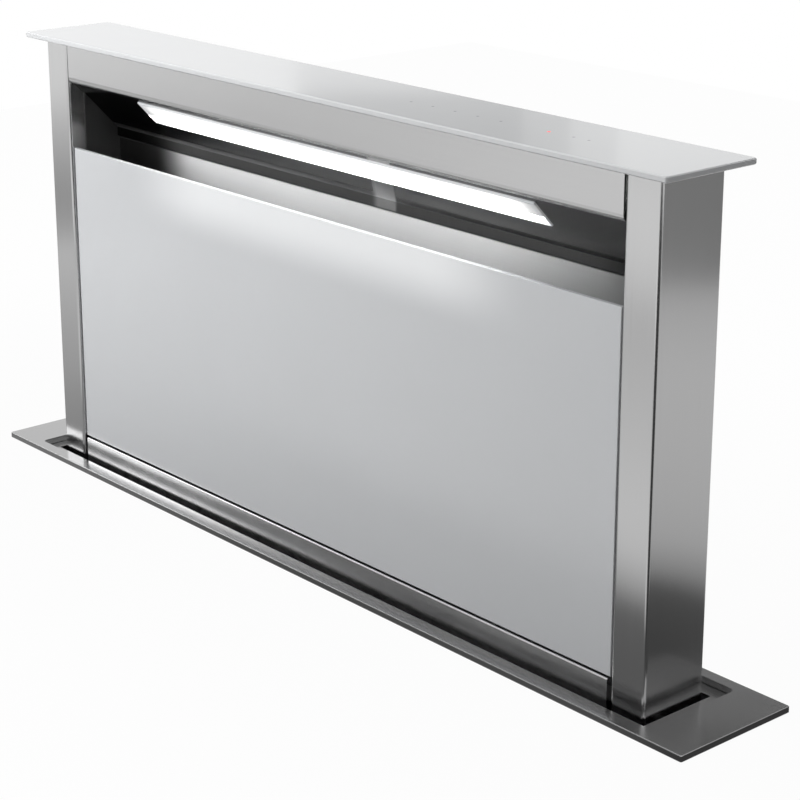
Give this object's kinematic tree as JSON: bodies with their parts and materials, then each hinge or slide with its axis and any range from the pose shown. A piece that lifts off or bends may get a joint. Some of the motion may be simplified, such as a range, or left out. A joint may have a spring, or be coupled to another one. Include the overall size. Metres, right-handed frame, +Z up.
{
  "type": "downdraft vent",
  "caption": "Worktop downdraft vent: a lifting steel head with a lit suction slot, tilting glass door and glass cover, over a built-in duct body with lift drive, blower and outlet.",
  "frame": {"origin": "centre of the worktop cut-out, on the worktop's top surface, which is the underside of the trim", "axes": "+Z up out of the worktop, the glass and suction side faces -Y, +X to the right seen from the front; the head is modelled raised"},
  "size_m": [0.88, 0.3147, 1.0693],
  "materials": {
    "stainless": "satin brushed stainless steel",
    "pale_glass": "satin grey-white back-coated glass",
    "galvanised": "zinc-coated sheet with a faint spangle",
    "dark_plastic": "moulded black plastic",
    "grey_plastic": "moulded grey plastic",
    "opal": "opal diffuser",
    "aluminium": "drawn or extruded aluminium",
    "rubber": "soft black foam or rubber",
    "brass": "turned brass",
    "bright_steel": "turned or plated steel",
    "board": "coated circuit board",
    "mesh": "layered aluminium grease mesh"
  },
  "bodies": {
    "body": {"trim_frame": "stainless", "trim_gasket": "rubber", "well_tray": "stainless", "duct_back": "galvanised", "duct_front": "galvanised", "duct_floor": "galvanised", "drive_plate": "galvanised", "screw_bearings": "grey_plastic", "guide_rails": "aluminium", "lift_gearmotor": "bright_steel", "drive_belt": "rubber", "limit_switches": "dark_plastic", "panel_screws": "bright_steel", "blower_box": "galvanised", "blower_cover": "galvanised", "scroll_wall": "galvanised", "scroll_inlet_plate": "galvanised", "scroll_motor_plate": "galvanised", "fan_motor": "bright_steel", "outlet_collar": "dark_plastic", "flap_pins": "bright_steel", "flap_springs": "bright_steel", "control_box": "galvanised", "control_lid": "galvanised", "power_board": "board", "cable_gland": "grey_plastic", "worktop_clamps": "galvanised", "clamp_screws": "bright_steel", "cabinet_feet": "galvanised"},
    "head": {"post_left": "stainless", "post_right": "stainless", "cover_glass": "pale_glass", "cover_pan": "stainless", "touch_board": "board", "fascia": "stainless", "hood_liner": "stainless", "lamp_lens": "opal", "lamp_channel": "aluminium", "led_strip": "board", "cavity_caps": "stainless", "door_catches": "dark_plastic", "lower_rail": "stainless", "filter_ledge": "stainless", "filter_frames": "stainless", "filter_meshes": "mesh", "rear_panel": "stainless", "rear_screws": "bright_steel", "head_base": "galvanised", "lift_nuts": "brass", "guide_shoes": "dark_plastic"},
    "door": {"door_glass": "pale_glass", "door_frame": "stainless"},
    "screw_left": {"lead_screw_left": "bright_steel", "pulley_left": "dark_plastic"},
    "screw_right": {"lead_screw_right": "bright_steel", "pulley_right": "dark_plastic"},
    "fan": {"blower_wheel": "galvanised", "fan_shaft": "bright_steel"},
    "flap_left": {"flap_left": "aluminium"},
    "flap_right": {"flap_right": "aluminium"}
  },
  "joints": [
    {"name": "lift", "type": "slide", "parent": "body", "child": "head", "axis": [0, 0, 1], "range_m": [-0.3981, 0]},
    {"name": "door_tilt", "type": "hinge", "parent": "head", "child": "door", "pos_m": [0, -0.0226, 0.027], "axis": [1, 0, 0], "range_deg": [0, 60]},
    {"name": "fan_spin", "type": "hinge", "parent": "body", "child": "fan", "pos_m": [-0.015, -0.1377, -0.402], "axis": [0, 1, 0], "continuous": true},
    {"name": "flap_left_swing", "type": "hinge", "parent": "body", "child": "flap_left", "pos_m": [0.051, -0.1377, -0.571], "axis": [0, -1, 0], "range_deg": [0, 80], "stiffness_Nm_per_rad": 0.03, "springref_deg": -34.38},
    {"name": "flap_right_swing", "type": "hinge", "parent": "body", "child": "flap_right", "pos_m": [0.059, -0.1377, -0.571], "axis": [0, 1, 0], "range_deg": [0, 80], "stiffness_Nm_per_rad": 0.03, "springref_deg": -34.38},
    {"name": "screw_left_turn", "type": "hinge", "parent": "body", "child": "screw_left", "pos_m": [-0.36415, -0.0009, -0.3], "axis": [0, 0, 1], "continuous": true},
    {"name": "screw_right_turn", "type": "hinge", "parent": "body", "child": "screw_right", "pos_m": [0.36415, -0.0009, -0.3], "axis": [0, 0, 1], "continuous": true}
  ],
  "couplings": [
    {"joint": "screw_left_turn", "follows": "lift", "rad_per_m": -628.32},
    {"joint": "screw_right_turn", "follows": "lift", "rad_per_m": -628.32}
  ]
}
